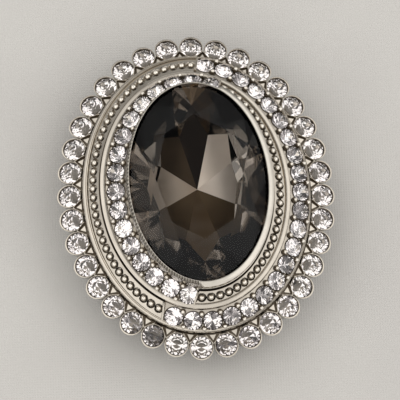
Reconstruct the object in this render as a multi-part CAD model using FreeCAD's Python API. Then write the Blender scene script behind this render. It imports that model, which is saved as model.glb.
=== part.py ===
"""Oval cocktail brooch, lying on its back: +Z out of its face, +Y towards its top as worn.

Two plated castings stand one on the other. The lower one is an oval ring plate with a scalloped
edge of tilted round cups. The upper one is a stepped dome with two concentric channels, split at
the top and bottom so that each is half beaded and half set with small stones. A tall faceted oval
stone stands in a thin cup in the middle. Behind, a soldered bar carries a hinged pin stem and a
safety catch with a turning sleeve. The origin is under the middle, on the surface it lies on.
"""

import FreeCAD
import Part
import math
import os

Vector = FreeCAD.Vector

# --- heights above the surface the brooch lies on -------------------------------------------
BAR_UNDER = 3.8
BACK_PLANE = 4.6
PLATE_TOP = 6.0
CUP_GIRDLE = 7.0
LIP_BEND = 13.4
LIP_TOP = 13.75

# --- centre stone ----------------------------------------------------------------------------
STONE_RX, STONE_RY = 9.85, 14.65
STONE_GIRDLE_TOP = 13.25
STONE_GIRDLE = 0.2
STONE_CROWN = 2.7
STONE_PAVILION = 6.4
STONE_TABLE = 0.62
STONE_STAR = 0.80
STONE_LOWER = 0.58

# --- round stones ----------------------------------------------------------------------------
OUTER_COUNT = 36
OUTER_RADIUS = 1.5
PAVE_RADIUS = 1.27
ROUND_TABLE, ROUND_STAR, ROUND_LOWER = 0.52, 0.76, 0.50
ROUND_CROWN, ROUND_PAVILION, ROUND_GIRDLE = 0.40, 0.86, 0.08  # shares of the radius
SEAT_GAP = 0.025
SEAT_DEEPER = 0.3  # below the stone's point

# --- outer ring of cups ----------------------------------------------------------------------
RING_RX, RING_RY = 17.74, 22.09
RING_START = 0.32  # where the first cup stands, in steps clockwise from the top
CUP_LEAN = 16.0
CUP_RIM, CUP_FOOT = 1.68, 1.5
CUP_LIP, CUP_DEPTH = 0.2, 2.9
PLATE_INNER = (13.6, 17.9)
PLATE_OUTER = (17.3, 21.65)

# --- channels of the upper casting: (left reach, right reach, top reach, height) ---------------
INNER_FLOOR = ((10.32, 10.62, 15.15, 11.1), (12.85, 12.35, 16.75, 10.1))
OUTER_FLOOR = ((13.66, 13.07, 17.45, 9.65), (15.3, 15.6, 19.95, 8.4))
SETTING_WALL = (10.02, 10.02, 14.82)
INNER_RAIL_TOP, MID_RAIL_TOP, OUTER_RAIL_TOP = 12.0, 10.35, 8.55
RAIL_LEAN = 0.06

# clock angles, in degrees clockwise from the top as seen from the front
PAVE_OUTER = (21, 10.8, 198.8)
PAVE_INNER = (17, 192.6, 376.7)
BEADS_OUTER = (41, 207.5, 363.0)
BEADS_INNER = (31, 25.5, 183.5)
PAVE_ACROSS = (0.57, 0.42)  # of the channel's width, to the outer and the inner channel's stones
PAVE_RAISE = 0.18  # of the stones, over the channel's floor
BEAD_RADIUS = 0.42

# --- pin, hinge and catch ----------------------------------------------------------------------
BAR_LENGTH, BAR_WIDTH = 32.0, 4.0
PIN_Y = 5.0
CATCH_R, CATCH_BORE, CATCH_MOUTH = 1.9, 1.3, 1.5
AXIS_Z = math.sqrt(CATCH_R**2 - (CATCH_MOUTH / 2) ** 2)  # the catch's cut edges rest at height 0
HINGE_X = -13.5
CATCH_X0, CATCH_X1 = 12.4, 14.6
EAR_INSIDE, EAR_THICK = 0.65, 0.5
RIVET_R, RIVET_HEAD_R, RIVET_HEAD = 0.5, 0.85, 0.3
EYE_R, EYE_BORE, EYE_HALF = 1.1, 0.53, 0.6
WIRE_R, WIRE_START, WIRE_END, TIP_X, TIP_R = 0.45, -11.6, 10.6, 17.0, 0.06
SLEEVE_R, SLEEVE_BORE, SLEEVE_SLOT = 1.25, 0.7, 1.3
SLEEVE_X0, SLEEVE_X1 = 11.75, 15.9
FLANGE_R = 1.6
TAB_REACH, TAB_THICK, TAB_ANGLE = 3.3, 0.6, 15.0


def oval(rx, ry, cx, z):
    """The edge of an ellipse, from its top end clockwise as seen from the front."""
    return Part.Ellipse(Vector(cx, ry, z), Vector(cx + rx, 0, z), Vector(cx, 0, z)).toShape()


def from_reaches(left, right, top, z):
    """(rx, ry, cx, z) of an oval that reaches that far left, right and up."""
    return (left + right) / 2, top, (right - left) / 2, z


def oval_ring(reaches):
    """A closed ring whose cross-section has its corners on the given ovals, in order."""
    edges = [oval(*from_reaches(*r)) for r in reaches]
    faces = [Part.makeRuledSurface(a, b) for a, b in zip(edges, edges[1:] + edges[:1])]
    shell = Part.makeShell(faces)
    shell.sewShape()
    solid = Part.makeSolid(shell)
    if solid.Volume < 0:
        solid.reverse()
    return solid


def grown(reaches, by, z):
    left, right, top = reaches[:3]
    return left + by, right + by, top + by, z


def clock_point(rx, ry, cx, z, degrees):
    a = math.radians(degrees)
    return Vector(cx + rx * math.sin(a), ry * math.cos(a), z)


def evenly(rx, ry, count, start, end):
    """Clock angles from start to end, the same distance apart along the oval."""
    steps = 2000
    angles = [start + (end - start) * i / steps for i in range(steps + 1)]
    lengths = [0.0]
    for a, b in zip(angles, angles[1:]):
        step = clock_point(rx, ry, 0, 0, b) - clock_point(rx, ry, 0, 0, a)
        lengths.append(lengths[-1] + step.Length)
    found, i = [], 0
    for k in range(count):
        target = lengths[-1] * k / (count - 1)
        while i < steps and lengths[i] < target:
            i += 1
        found.append(angles[i])
    return found


def channel_seat(floor, degrees, across=0.5):
    """(point, outward normal, width of the channel there) on a channel's floor."""
    inner, outer = (from_reaches(*r) for r in floor)
    a = clock_point(*inner, degrees)
    b = clock_point(*outer, degrees)
    along = clock_point(*inner, degrees + 0.5) - clock_point(*inner, degrees - 0.5)
    across_way = b - a
    normal = across_way.cross(along)
    normal.normalize()
    if normal.z < 0:
        normal = normal * -1
    return a + across_way * across, normal, across_way.Length


def placed(shape, point, axis):
    copy = shape.copy()
    copy.Placement = FreeCAD.Placement(point, FreeCAD.Rotation(Vector(0, 0, 1), axis))
    return copy


def faceted(points, faces):
    made = []
    for face in faces:
        corners = [points[i] for i in face]
        made.append(Part.Face(Part.makePolygon(corners + corners[:1])))
    shell = Part.makeShell(made)
    shell.sewShape()
    solid = Part.makeSolid(shell)
    if solid.Volume < 0:
        solid.reverse()
    return solid


def brilliant(rx, ry, crown, pavilion, girdle, table, star, lower, sides):
    """A brilliant-cut stone with its upper girdle edge at z = 0: 8 kites, 8 stars and 8 mains."""

    def corner(share, degrees, z):
        a = math.radians(degrees)
        return Vector(rx * share * math.sin(a), ry * share * math.cos(a), z)

    lean = math.cos(math.radians(22.5))
    star_z = crown * (1 - star * lean) / (1 - table)
    lower_z = -girdle - pavilion * (1 - lower * lean)
    points = [corner(table, 45 * k, crown) for k in range(8)]
    points += [corner(star, 45 * k + 22.5, star_z) for k in range(8)]
    points += [corner(1, 360 * j / sides, 0) for j in range(sides)]
    points += [corner(1, 360 * j / sides, -girdle) for j in range(sides)]
    points += [corner(lower, 45 * k + 22.5, lower_z) for k in range(8)]
    points.append(Vector(0, 0, -girdle - pavilion))
    stars, top, under, low, culet = 8, 16, 16 + sides, 16 + 2 * sides, 24 + 2 * sides
    per = sides // 8
    faces = [list(range(8))]
    for k in range(8):
        after = (k + 1) % 8
        before = (k - 1) % 8
        faces.append([k, after, stars + k])
        faces.append([k, stars + k, top + k * per, stars + before])
        faces.append([culet, low + k, under + k * per, low + before])
        for i in range(per):
            a = (k * per + i) % sides
            b = (a + 1) % sides
            faces.append([stars + k, top + a, top + b])
            faces.append([low + k, under + a, under + b])
            faces.append([top + a, top + b, under + b, under + a])
    return faceted(points, faces)


def round_stone(radius):
    return brilliant(
        radius,
        radius,
        radius * ROUND_CROWN,
        radius * ROUND_PAVILION,
        radius * ROUND_GIRDLE,
        ROUND_TABLE,
        ROUND_STAR,
        ROUND_LOWER,
        16,
    )


def seat_cutter(radius):
    """What the casting loses for a round stone: a straight mouth, then a cone for its point."""
    wide = radius + SEAT_GAP
    edge = -radius * ROUND_GIRDLE
    point = edge - radius * ROUND_PAVILION - SEAT_DEEPER
    shaft = Part.makeCylinder(wide, radius - edge, Vector(0, 0, edge))
    return shaft.fuse(Part.makeCone(0, wide, edge - point, Vector(0, 0, point)))


def ring_seats():
    """(point, axis) of each outer cup, the same distance apart around the ring."""
    fine = 25
    angles = evenly(RING_RX, RING_RY, fine * OUTER_COUNT + 1, 0, 360)
    seats = []
    for k in range(OUTER_COUNT):
        degrees = angles[fine * k + round(fine * RING_START)]
        point = clock_point(RING_RX, RING_RY, 0, CUP_GIRDLE, degrees)
        a = math.radians(degrees)
        out = Vector(math.sin(a) / RING_RX, math.cos(a) / RING_RY, 0)
        out.normalize()
        lean = math.radians(CUP_LEAN)
        seats.append((point, out * math.sin(lean) + Vector(0, 0, math.cos(lean))))
    return seats


def pave_seats(floor, spec, across):
    """(point, axis) of each small stone of a channel."""
    inner, outer = (from_reaches(*r) for r in floor)
    middle = [(a + b) / 2 for a, b in zip(inner, outer)]
    seats = []
    for degrees in evenly(middle[0], middle[1], *spec):
        point, normal, _ = channel_seat(floor, degrees, across)
        seats.append((point + normal * PAVE_RAISE, normal))
    return seats


def lower_frame(seats):
    plate = oval_ring(
        [
            (PLATE_INNER[0], PLATE_INNER[0], PLATE_INNER[1], BACK_PLANE),
            (PLATE_INNER[0], PLATE_INNER[0], PLATE_INNER[1], PLATE_TOP),
            (PLATE_OUTER[0], PLATE_OUTER[0], PLATE_OUTER[1], PLATE_TOP),
            (PLATE_OUTER[0], PLATE_OUTER[0], PLATE_OUTER[1], BACK_PLANE),
        ]
    )
    height = CUP_LIP + CUP_DEPTH
    cup = Part.makeCone(CUP_FOOT, CUP_RIM, height, Vector(0, 0, -CUP_DEPTH))
    cups = [placed(cup, point, axis) for point, axis in seats]
    body = plate.multiFuse(cups)
    below = Part.makeBox(60, 60, 5, Vector(-30, -30, BACK_PLANE - 5))
    cutter = seat_cutter(OUTER_RADIUS)
    return body.cut([below] + [placed(cutter, point, axis) for point, axis in seats])


def upper_frame(pave):
    """The stepped dome with its channels, seats and bead rows."""
    i0, i1 = INNER_FLOOR
    o0, o1 = OUTER_FLOOR
    body = oval_ring(
        [
            (*SETTING_WALL, 9.3),
            (*SETTING_WALL, INNER_RAIL_TOP - 0.1),
            grown(SETTING_WALL, 0.1, INNER_RAIL_TOP),
            grown(i0, -RAIL_LEAN, INNER_RAIL_TOP),
            i0,
            i1,
            grown(i1, RAIL_LEAN, MID_RAIL_TOP),
            grown(o0, -RAIL_LEAN, MID_RAIL_TOP),
            o0,
            o1,
            grown(o1, RAIL_LEAN, OUTER_RAIL_TOP),
            (16.0, 16.0, 20.35, OUTER_RAIL_TOP - 0.25),
            (15.95, 15.95, 20.3, 7.7),
            (15.3, 15.3, 19.65, PLATE_TOP),
            (14.3, 14.3, 18.65, PLATE_TOP),
            (14.2, 14.2, 18.5, 6.9),
            (12.7, 12.5, 17.0, 7.8),
        ]
    )
    cutter = seat_cutter(PAVE_RADIUS)
    body = body.cut([placed(cutter, point, axis) for point, axis in pave])
    return body.multiFuse(bead_rows())


def bead_rows():
    bead = Part.makeSphere(BEAD_RADIUS)
    found = []
    for floor, spec in ((OUTER_FLOOR, BEADS_OUTER), (INNER_FLOOR, BEADS_INNER)):
        inner, outer = (from_reaches(*r) for r in floor)
        middle = [(a + b) / 2 for a, b in zip(inner, outer)]
        for degrees in evenly(middle[0], middle[1], *spec):
            point, _, _ = channel_seat(floor, degrees)
            found.append(bead.translated(point))
    return found


def centre_setting():
    """A thin cup with an open back, a ledge under the stone's girdle and a lip bent in over it."""
    outer, inner = (10.02, 14.82), (9.87, 14.67)
    corners = [
        (*outer, LIP_BEND),
        (9.85, 14.6, LIP_TOP),
        (9.72, 14.45, LIP_TOP),
        (*inner, LIP_BEND),
        (*inner, 12.75),
        (9.4, 14.1, 12.5),
        (6.6, 9.9, 9.2),
        (7.0, 10.4, 8.9),
        (*outer, 11.2),
    ]
    return oval_ring([(rx, rx, ry, z) for rx, ry, z in corners])


def centre_stone():
    stone = brilliant(
        STONE_RX,
        STONE_RY,
        STONE_CROWN,
        STONE_PAVILION,
        STONE_GIRDLE,
        STONE_TABLE,
        STONE_STAR,
        STONE_LOWER,
        32,
    )
    return stone.translated(Vector(0, 0, STONE_GIRDLE_TOP))


def tube_x(x0, x1, radius):
    return Part.makeCylinder(radius, x1 - x0, Vector(x0, PIN_Y, AXIS_Z), Vector(1, 0, 0))


def rod_y(half, radius):
    return Part.makeCylinder(radius, 2 * half, Vector(HINGE_X, PIN_Y - half, AXIS_Z), Vector(0, 1, 0))


def pin_bar():
    straight = BAR_LENGTH - BAR_WIDTH
    height = BACK_PLANE - BAR_UNDER
    bar = Part.makeBox(straight, BAR_WIDTH, height, Vector(-straight / 2, PIN_Y - BAR_WIDTH / 2, BAR_UNDER))
    ends = [
        Part.makeCylinder(BAR_WIDTH / 2, height, Vector(side * straight / 2, PIN_Y, BAR_UNDER))
        for side in (-1, 1)
    ]
    return bar.multiFuse(ends).removeSplitter()


def hinge_joint():
    """A folded bracket: a base under the bar and two round-ended ears for the rivet."""
    width = 2 * AXIS_Z
    reach = EAR_INSIDE + EAR_THICK
    base_low = BAR_UNDER - 0.4
    base = Part.makeBox(width, 2 * reach, 0.4, Vector(HINGE_X - AXIS_Z, PIN_Y - reach, base_low))
    ears = rod_y(reach, AXIS_Z).fuse(
        Part.makeBox(width, 2 * reach, base_low - AXIS_Z, Vector(HINGE_X - AXIS_Z, PIN_Y - reach, AXIS_Z))
    )
    between = Part.makeBox(
        width + 2, 2 * EAR_INSIDE, base_low + 1, Vector(HINGE_X - AXIS_Z - 1, PIN_Y - EAR_INSIDE, -1)
    )
    bracket = ears.cut(between).fuse(base)
    return bracket.cut(rod_y(reach + 1, RIVET_R + 0.01)).removeSplitter()


def hinge_rivet():
    reach = EAR_INSIDE + EAR_THICK
    shank = rod_y(reach + RIVET_HEAD, RIVET_R)
    heads = rod_y(reach + RIVET_HEAD, RIVET_HEAD_R).cut(rod_y(reach, RIVET_HEAD_R + 1))
    return shank.fuse(heads).removeSplitter()


def pin_stem():
    """An eye, a short shoulder, a straight wire and a long point."""
    eye = rod_y(EYE_HALF, EYE_R)
    shoulder_start = HINGE_X + 0.7
    along = Vector(1, 0, 0)
    shoulder = Part.makeCone(
        EYE_HALF, WIRE_R, WIRE_START - shoulder_start, Vector(shoulder_start, PIN_Y, AXIS_Z), along
    )
    wire = tube_x(WIRE_START, WIRE_END, WIRE_R)
    point = Part.makeCone(WIRE_R, TIP_R, TIP_X - WIRE_END, Vector(WIRE_END, PIN_Y, AXIS_Z), along)
    return eye.multiFuse([shoulder, wire, point]).cut(rod_y(EYE_HALF + 1, EYE_BORE))


def catch_housing():
    shell = tube_x(CATCH_X0, CATCH_X1, CATCH_R)
    length = CATCH_X1 - CATCH_X0
    foot = Part.makeBox(length, 2.4, BAR_UNDER - AXIS_Z, Vector(CATCH_X0, PIN_Y - 1.2, AXIS_Z))
    corner = Vector(CATCH_X0 - 1, PIN_Y - CATCH_MOUTH / 2, AXIS_Z - 4)
    mouth = Part.makeBox(length + 2, CATCH_MOUTH, 4, corner)
    bore = tube_x(CATCH_X0 - 1, CATCH_X1 + 1, CATCH_BORE)
    return shell.fuse(foot).cut([bore, mouth]).removeSplitter()


def catch_sleeve():
    """The slotted sleeve that turns in the housing, with a flange each side and a thumb tab."""
    sleeve = tube_x(SLEEVE_X0, SLEEVE_X1, SLEEVE_R)
    inner_flange = tube_x(SLEEVE_X0, CATCH_X0 - 0.1, FLANGE_R)
    outer_flange = tube_x(CATCH_X1 + 0.1, SLEEVE_X1, FLANGE_R)
    tab_x0 = CATCH_X1 + 0.3
    tab = Part.makeBox(
        SLEEVE_X1 - 0.2 - tab_x0,
        TAB_REACH - 1.0,
        TAB_THICK,
        Vector(tab_x0, PIN_Y + 1.0, AXIS_Z - TAB_THICK / 2),
    )
    tab.rotate(Vector(0, PIN_Y, AXIS_Z), Vector(1, 0, 0), TAB_ANGLE)
    slot = Part.makeBox(
        SLEEVE_X1 - SLEEVE_X0 + 2,
        SLEEVE_SLOT,
        4,
        Vector(SLEEVE_X0 - 1, PIN_Y - SLEEVE_SLOT / 2, AXIS_Z - 4),
    )
    bore = tube_x(SLEEVE_X0 - 1, SLEEVE_X1 + 1, SLEEVE_BORE)
    return sleeve.multiFuse([inner_flange, outer_flange, tab]).cut([slot, bore]).removeSplitter()


def write(name, shape):
    if not shape.isValid():
        print("not valid:", name)
    shape.exportStep(f"parts/{name}.step")
    print(f"{name}: {len(shape.Solids)} solids, {shape.Volume:.2f} mm3")


def main():
    os.makedirs("parts", exist_ok=True)
    seats = ring_seats()
    outer_seats = pave_seats(OUTER_FLOOR, PAVE_OUTER, PAVE_ACROSS[0])
    inner_seats = pave_seats(INNER_FLOOR, PAVE_INNER, PAVE_ACROSS[1])
    write("lower_frame", lower_frame(seats))
    write("upper_frame", upper_frame(outer_seats + inner_seats))
    write("centre_setting", centre_setting())
    write("centre_stone", centre_stone())
    outer_stone = round_stone(OUTER_RADIUS)
    for number, (point, axis) in enumerate(seats, 1):
        write(f"outer_stone_{number:02d}", placed(outer_stone, point, axis))
    pave_stone = round_stone(PAVE_RADIUS)
    for name, row in (("outer_channel_stones", outer_seats), ("inner_channel_stones", inner_seats)):
        write(name, Part.makeCompound([placed(pave_stone, point, axis) for point, axis in row]))
    write("pin_bar", pin_bar())
    write("hinge_joint", hinge_joint())
    write("hinge_rivet", hinge_rivet())
    write("pin_stem", pin_stem())
    write("catch_housing", catch_housing())
    write("catch_sleeve", catch_sleeve())


main()
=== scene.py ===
"""Looks of an oval brooch: plated castings, beaded channels, foiled stones and pin findings."""

import math

import bmesh
import bpy
import numpy as np
from mathutils import Matrix, Vector


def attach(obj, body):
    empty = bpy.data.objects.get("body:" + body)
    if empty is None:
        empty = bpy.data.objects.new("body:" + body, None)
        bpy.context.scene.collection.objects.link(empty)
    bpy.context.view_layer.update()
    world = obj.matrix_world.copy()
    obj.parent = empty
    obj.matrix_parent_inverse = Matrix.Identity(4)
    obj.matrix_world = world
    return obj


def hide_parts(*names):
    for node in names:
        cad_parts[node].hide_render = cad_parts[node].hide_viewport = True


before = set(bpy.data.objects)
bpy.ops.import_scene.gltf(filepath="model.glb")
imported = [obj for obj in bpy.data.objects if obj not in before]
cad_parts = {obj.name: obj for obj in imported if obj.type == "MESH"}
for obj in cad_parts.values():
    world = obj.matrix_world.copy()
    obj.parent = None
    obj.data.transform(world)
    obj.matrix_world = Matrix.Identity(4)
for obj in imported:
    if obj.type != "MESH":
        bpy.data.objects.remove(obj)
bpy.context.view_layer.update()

MM = 0.001
ROOT_BODY = "brooch"

# --- shape, in millimetres ---------------------------------------------------------------------
# as in the part, but for the rails' tops, the cups' depth, the round stones' cut and the outer beads
RING_RX, RING_RY, RING_COUNT, RING_START = 17.74, 22.09, 36, 0.32
CUP_GIRDLE, CUP_LEAN = 7.0, 16.0
CUP_RIM, CUP_FOOT, CUP_LIP, CUP_DEPTH = 1.68, 1.5, 0.2, 2.4
CUP_THICKER = 0.07
BACK_PLANE, PLATE_TOP = 4.6, 6.0
PLATE_INNER, PLATE_OUTER = (13.6, 17.9), (17.3, 21.65)
OUTER_RADIUS, PAVE_RADIUS = 1.5, 1.27
ROUND_CUT = {"table": 0.54, "star": 0.77, "lower": 0.52, "crown": 0.36, "pavilion": 0.86, "girdle": 0.05}

# ovals are (left reach, right reach, top reach, height)
INNER_FLOOR = ((10.32, 10.62, 15.15, 11.1), (12.85, 12.35, 16.75, 10.1))
OUTER_FLOOR = ((13.66, 13.07, 17.45, 9.65), (15.3, 15.6, 19.95, 8.4))
SETTING_WALL = (10.02, 10.02, 14.82)
OUTER_RAIL_FOOT, OUTER_RAIL_FOOT_Z = (16.0, 16.0, 20.35), 7.9
INNER_RAIL_TOP, MID_RAIL_TOP, OUTER_RAIL_TOP, STONED_RAIL_TOP = 12.0, 10.42, 8.75, 11.2
PAVE_OUTER, PAVE_INNER = (21, 10.8, 198.8), (17, 192.6, 376.7)
BEADS_OUTER, BEADS_INNER = (37, 207.5, 363.0), (31, 25.5, 183.5)
PAVE_ACROSS, PAVE_RAISE = (0.57, 0.42), 0.18
# the side of each bead's dish that gets painted shade, the same side however the brooch is lit
PAINTED_SHADE_WAY = Vector((0.5, -0.86, 0))
GRAIN_REACH, GRAIN_RAISE, GRAIN_RADIUS = 1.06, 0.27, 0.3
TROUGH_DEPTH, DISH_RADIUS, DISH_DEPTH, DISH_WALL = 0.5, 0.62, 0.36, 0.14
# EDGE_DARK is painted shade along both sides of a bed, where it meets the rails' walls
EDGE_LINE, EDGE_RISE, EDGE_DARK, LAND_RISE = 0.06, -0.05, 0.55, 0.05
BED_ALONG, BED_ACROSS, BED_THICK, BEAD_RAISE = 22, 30, 0.02, 0.06
RUN_PAST = 0.6  # pitches that a beaded run goes on past its end beads
# (bead radius, painted shade all round each bead's dish, painted shade on one side of it)
OUTER_BEADS, INNER_BEADS = (0.42, 0.2, 0.7), (0.42, 0.45, 0.55)

STONE_RX, STONE_RY, STONE_TOP = 9.85, 14.65, 13.25
CENTRE_CUT = {"table": 0.62, "star": 0.80, "lower": 0.54, "crown": 2.7, "pavilion": 6.4, "girdle": 0.2,
              "steep": 0.9, "tips": (0.74, 0.68, 0.56, 0.64, 0.72, 0.66, 0.60, 0.68)}
LIP_TOP = 13.75
SETTING_TEETH, TOOTH_STEPS, TOOTH_DEPTH = 168, 6, 0.09
MAIN, HALF, TIP = 0, 1, 2  # places in a stone's set of painted reflection tones
# painted reflection: how light the foil is painted behind each of the 8 mains, 16 halves and 8 tips,
# clockwise from the top, for what each facet mirrors from one view
CENTRE_MAINS = (0.0, 0.88, 0.98, 0.44, 0.52, 0.34, 0.72, 0.12)
CENTRE_HALVES = (0.30, 0.70, 0.60, 1.0, 0.45, 0.95, 0.30, 0.65,
                 0.20, 0.60, 0.20, 0.50, 0.30, 0.60, 0.15, 0.50)
CENTRE_TIPS = (0.75, 0.35, 0.55, 0.50, 0.50, 0.25, 0.45, 0.20)

# --- the view ---------------------------------------------------------------------------------
VIEW_RIGHT = Vector((0.995, -0.0847, 0.0515))
VIEW_BACK = Vector((-0.075, -0.3031, 0.950))
VIEW_WIDTH = 56.1
VIEW_DISTANCE = 620.0
VIEW_SHIFT = (0.533, -0.547)


# --- geometry helpers --------------------------------------------------------------------------
def from_reaches(left, right, top, z):
    return (left + right) / 2, top, (right - left) / 2, z


def clock_point(rx, ry, cx, z, degrees):
    a = math.radians(degrees)
    return Vector((cx + rx * math.sin(a), ry * math.cos(a), z))


def evenly(rx, ry, count, start, end):
    """Clock angles from start to end, the same distance apart along the oval."""
    angles = np.linspace(start, end, 4001)
    a = np.radians(angles)
    steps = np.hypot(rx * np.diff(np.sin(a)), ry * np.diff(np.cos(a)))
    lengths = np.concatenate([[0.0], np.cumsum(steps)])
    return list(np.interp(np.linspace(0, lengths[-1], count), lengths, angles))


def channel_seat(floor, degrees, across=0.5):
    """(point, outward normal, width) on a channel's floor."""
    inner, outer = (from_reaches(*r) for r in floor)
    a = clock_point(*inner, degrees)
    across_way = clock_point(*outer, degrees) - a
    along = clock_point(*inner, degrees + 0.5) - clock_point(*inner, degrees - 0.5)
    normal = across_way.cross(along).normalized()
    if normal.z < 0:
        normal = -normal
    return a + across_way * across, normal, across_way.length


def ring_seats():
    """(point, axis, outward way) of each cup of the outer ring."""
    fine = 25
    angles = evenly(RING_RX, RING_RY, fine * RING_COUNT + 1, 0, 360)
    lean = math.radians(CUP_LEAN)
    seats = []
    for k in range(RING_COUNT):
        degrees = angles[fine * k + round(fine * RING_START)]
        a = math.radians(degrees)
        out = Vector((math.sin(a) / RING_RX, math.cos(a) / RING_RY, 0)).normalized()
        axis = out * math.sin(lean) + Vector((0, 0, math.cos(lean)))
        seats.append((clock_point(RING_RX, RING_RY, 0, CUP_GIRDLE, degrees), axis, out))
    return seats


def channel_angles(floor, spec):
    inner, outer = (from_reaches(*r) for r in floor)
    return evenly((inner[0] + outer[0]) / 2, (inner[1] + outer[1]) / 2, *spec)


def pave_seats(floor, spec, across):
    seats = []
    for degrees in channel_angles(floor, spec):
        point, normal, _ = channel_seat(floor, degrees, across)
        seats.append((point + normal * PAVE_RAISE, normal, Vector((point.x, point.y, 0)).normalized()))
    return seats


def seat_matrix(seat, spin=0.0):
    """Places a shape whose axis is +Z and whose +X is the outward way."""
    point, axis, out = seat
    x = (out - axis * out.dot(axis)).normalized()
    turn = Matrix((x, axis.cross(x), axis)).transposed().to_4x4()
    return Matrix.Translation(point) @ turn @ Matrix.Rotation(spin, 4, "Z")


def new_object(name, verts, faces, materials, face_slots=None, smooth_angle=None):
    """A mesh object from vertices in millimetres."""
    mesh = bpy.data.meshes.new(name)
    mesh.from_pydata([tuple(c * MM for c in v) for v in verts], [], [tuple(f) for f in faces])
    for material in materials:
        mesh.materials.append(material)
    if face_slots is not None:
        mesh.polygons.foreach_set("material_index", face_slots)
    obj = bpy.data.objects.new(name, mesh)
    bpy.context.scene.collection.objects.link(obj)
    finish_mesh(obj, smooth_angle)
    return obj


def finish_mesh(obj, smooth_angle=None, merge=1e-7):
    """Closes seams, points the faces outwards and shades them smooth up to the angle."""
    bm = bmesh.new()
    bm.from_mesh(obj.data)
    bmesh.ops.remove_doubles(bm, verts=bm.verts, dist=merge)
    bmesh.ops.recalc_face_normals(bm, faces=bm.faces)
    bm.to_mesh(obj.data)
    bm.free()
    if smooth_angle:
        obj.data.shade_smooth()
        obj.data.set_sharp_from_angle(angle=math.radians(smooth_angle))
    else:
        obj.data.shade_flat()


def oval_loops(rows, segments):
    """Vertices of ovals stacked as rows, each (left, right, top, z)."""
    verts = []
    for row in rows:
        oval = from_reaches(*row)
        verts += [clock_point(*oval, 360 * j / segments) for j in range(segments)]
    return verts


def beaded_share(degrees):
    """1 along the inner run of beads, 0 along the inner run of stones, eased between them."""
    _, start, end = BEADS_INNER
    inside = min(degrees - start + 2, end + 2 - degrees)
    t = min(1.0, max(0.0, inside / 6 + 0.5))
    return t * t * (3 - 2 * t)


def tube_faces(rows, segments, closed):
    faces = []
    for i in range(rows if closed else rows - 1):
        a, b = i * segments, ((i + 1) % rows) * segments
        for j in range(segments):
            k = (j + 1) % segments
            faces.append((a + j, a + k, b + k, b + j))
    return faces


def rounded(corners, radii, steps=4):
    """A closed outline of (r, z) corners, each turned in a small arc."""
    found = []
    count = len(corners)
    for i, ((x, y), radius) in enumerate(zip(corners, radii)):
        here = Vector((x, y))
        if radius <= 0:
            found.append(here)
            continue
        before = (Vector(corners[i - 1]) - here).normalized()
        after = (Vector(corners[(i + 1) % count]) - here).normalized()
        start, end = here + before * radius, here + after * radius
        for k in range(steps + 1):
            t = k / steps
            found.append(start * (1 - t) ** 2 + here * 2 * t * (1 - t) + end * t * t)
    return found


def add_dark(obj, values):
    """Writes painted shade per vertex, 0 to 1, for the plating to darken: shade in recesses, under parts and
    on one side of each bead.
    """
    attribute = obj.data.attributes.new("painted_shade", "FLOAT", "POINT")
    attribute.data.foreach_set("value", np.clip(values, 0, 1).astype(np.float32))


# --- node groups -------------------------------------------------------------------------------
def node(tree, kind, place=(0, 0), **inputs):
    made = tree.nodes.new(kind)
    made.location = place
    for name, value in inputs.items():
        made.inputs[name.replace("_", " ")].default_value = value
    return made


def shader_group(name, inputs, outputs):
    group = bpy.data.node_groups.new(name, "ShaderNodeTree")
    for label, kind, value in inputs:
        socket = group.interface.new_socket(label, in_out="INPUT", socket_type=kind)
        socket.default_value = value
    for label, kind in outputs:
        group.interface.new_socket(label, in_out="OUTPUT", socket_type=kind)
    return group, group.nodes.new("NodeGroupInput"), group.nodes.new("NodeGroupOutput")


def plating_group():
    """Bright plating that dulls and darkens with random wear and with painted shade in its recesses, with
    fine polishing marks.
    """
    group, given, out = shader_group(
        "plating",
        [
            ("Bright", "NodeSocketColor", (0.8, 0.78, 0.74, 1)),
            ("Tarnish And Shade", "NodeSocketColor", (0.2, 0.18, 0.15, 1)),
            ("Painted Shade", "NodeSocketFloat", 0.0),
            ("Shine", "NodeSocketFloat", 0.12),
            ("Mark Scale", "NodeSocketFloat", 900.0),
        ],
        [("Color", "NodeSocketColor"), ("Roughness", "NodeSocketFloat"), ("Height", "NodeSocketFloat")],
    )
    link = group.links.new
    place = group.nodes.new("ShaderNodeTexCoord")
    cloud = node(group, "ShaderNodeTexNoise", Scale=420.0, Detail=4.0, Roughness=0.6)
    marks = node(group, "ShaderNodeTexNoise", Detail=2.0, Roughness=0.5)
    link(place.outputs["Object"], cloud.inputs["Vector"])
    link(place.outputs["Object"], marks.inputs["Vector"])
    link(given.outputs["Mark Scale"], marks.inputs["Scale"])
    mask = node(group, "ShaderNodeMapRange")
    mask.inputs["From Min"].default_value = 0.35
    mask.inputs["From Max"].default_value = 0.75
    link(cloud.outputs["Fac"], mask.inputs["Value"])
    # random worn patches plus painted shade, mixing the plating towards its tarnish and shade colour
    wear_and_shade = node(group, "ShaderNodeMath")
    wear_and_shade.operation = "MULTIPLY_ADD"
    wear_and_shade.inputs[1].default_value = 0.18
    link(mask.outputs["Result"], wear_and_shade.inputs[0])
    link(given.outputs["Painted Shade"], wear_and_shade.inputs[2])
    wear_and_shade.use_clamp = True
    mix = group.nodes.new("ShaderNodeMix")
    mix.data_type = "RGBA"
    link(wear_and_shade.outputs["Value"], mix.inputs["Factor"])
    link(given.outputs["Bright"], mix.inputs["A"])
    link(given.outputs["Tarnish And Shade"], mix.inputs["B"])
    rough = node(group, "ShaderNodeMath")
    rough.operation = "MULTIPLY_ADD"
    rough.inputs[1].default_value = 0.25
    link(wear_and_shade.outputs["Value"], rough.inputs[0])
    link(given.outputs["Shine"], rough.inputs[2])
    link(mix.outputs["Result"], out.inputs["Color"])
    link(rough.outputs["Value"], out.inputs["Roughness"])
    link(marks.outputs["Fac"], out.inputs["Height"])
    return group


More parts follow.
